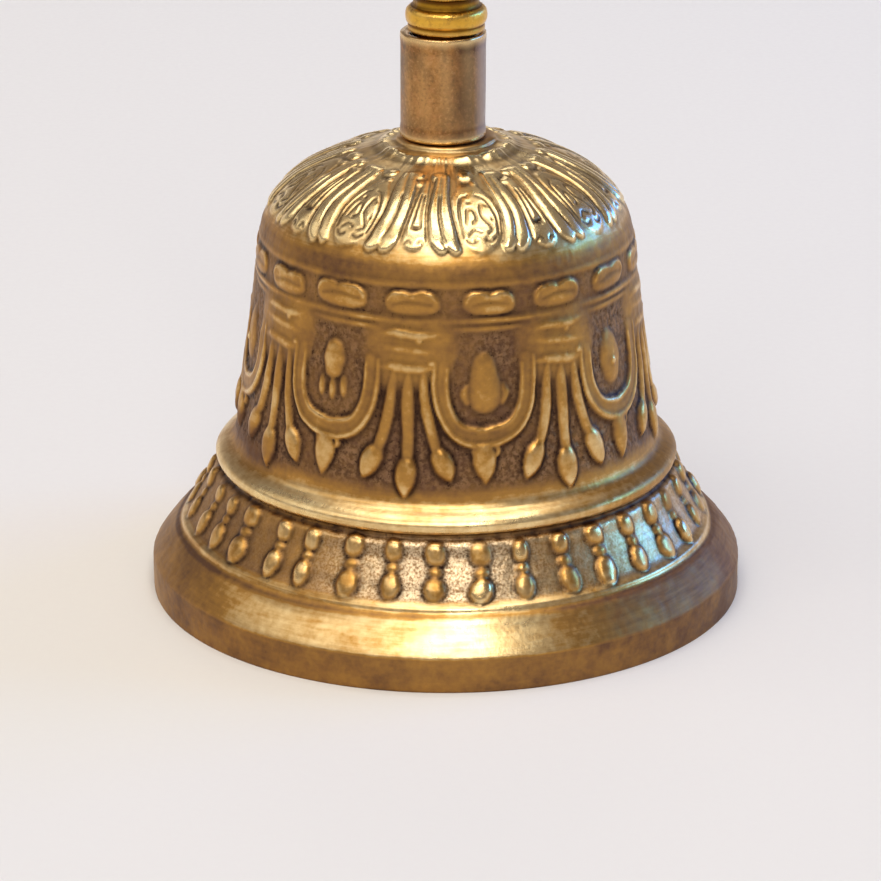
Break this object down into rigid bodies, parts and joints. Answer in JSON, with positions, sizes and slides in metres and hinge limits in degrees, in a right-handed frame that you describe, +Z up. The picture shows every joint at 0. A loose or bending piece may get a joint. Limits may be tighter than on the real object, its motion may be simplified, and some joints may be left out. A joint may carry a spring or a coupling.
{
  "type": "hand bell",
  "caption": "Tibetan hand bell: cast relief bell with a flared lip, a neck sleeve, a turned brass handle ending in a half vajra, and a swinging ball clapper inside.",
  "frame": {"origin": "on the bell's axis, in the plane that the lip stands on", "axes": "+Z up along the bell's axis to the handle's tip, +Y away from the side that the picture shows"},
  "size_m": [0.08, 0.08, 0.1625],
  "materials": {
    "bell_bronze": "cast bronze, brown in the recesses and rubbed bright on the high relief",
    "sleeve_bronze": "brushed, aged brown",
    "handle_brass": "cast yellow brass, darkened in the grooves",
    "rod_steel": "zinc plated steel, dulled",
    "clapper_iron": "black iron wire",
    "ball_brass": "turned brass, dulled by striking"
  },
  "bodies": {
    "bell": {"bell_body": "bell_bronze", "neck_sleeve": "sleeve_bronze", "handle_grip": "handle_brass", "vajra_finial": "handle_brass", "tie_rod": "rod_steel", "crown_washer": "rod_steel", "crown_nut": "rod_steel"},
    "link": {"hanger_link": "clapper_iron"},
    "clapper": {"clapper_rod": "clapper_iron", "clapper_ball": "ball_brass"}
  },
  "joints": [
    {"name": "clapper_swing", "type": "hinge", "parent": "bell", "child": "link", "pos_m": [0, 0, 0.0477], "axis": [0, 1, 0], "range_deg": [-31, 31]},
    {"name": "clapper_sway", "type": "hinge", "parent": "link", "child": "clapper", "pos_m": [0, 0, 0.0426], "axis": [1, 0, 0], "range_deg": [-9, 9]}
  ]
}
